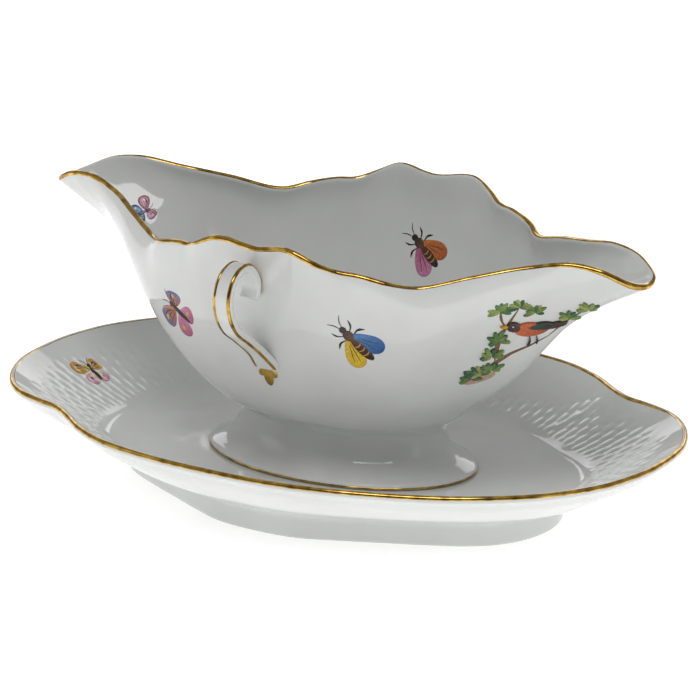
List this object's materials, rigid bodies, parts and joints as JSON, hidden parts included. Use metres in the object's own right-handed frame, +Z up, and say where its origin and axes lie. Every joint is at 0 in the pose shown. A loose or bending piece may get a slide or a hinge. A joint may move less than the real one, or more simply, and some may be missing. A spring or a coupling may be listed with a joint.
{
  "type": "gravy boat",
  "caption": "Double-lipped sauce boat on a flared oval foot, with scrolled strap handles, lifting off an oval dished stand with a foot ring.",
  "frame": {"origin": "on the table under the middle of the stand", "axes": "+X along the boat from spout to spout, +Y across it from handle to handle, +Z up"},
  "size_m": [0.24, 0.1764, 0.0991],
  "materials": {
    "porcelain_stand": "glossy white glaze",
    "porcelain_boat": "glossy white glaze"
  },
  "bodies": {
    "stand": {"stand_dish": "porcelain_stand", "stand_foot_ring": "porcelain_stand"},
    "boat": {"boat_bowl": "porcelain_boat", "boat_foot": "porcelain_boat", "handle_front": "porcelain_boat", "handle_back": "porcelain_boat"}
  },
  "joints": [
    {"name": "boat_lift", "type": "slide", "parent": "stand", "child": "boat", "axis": [0, 0, 1], "range_m": [0, 0.06]}
  ]
}
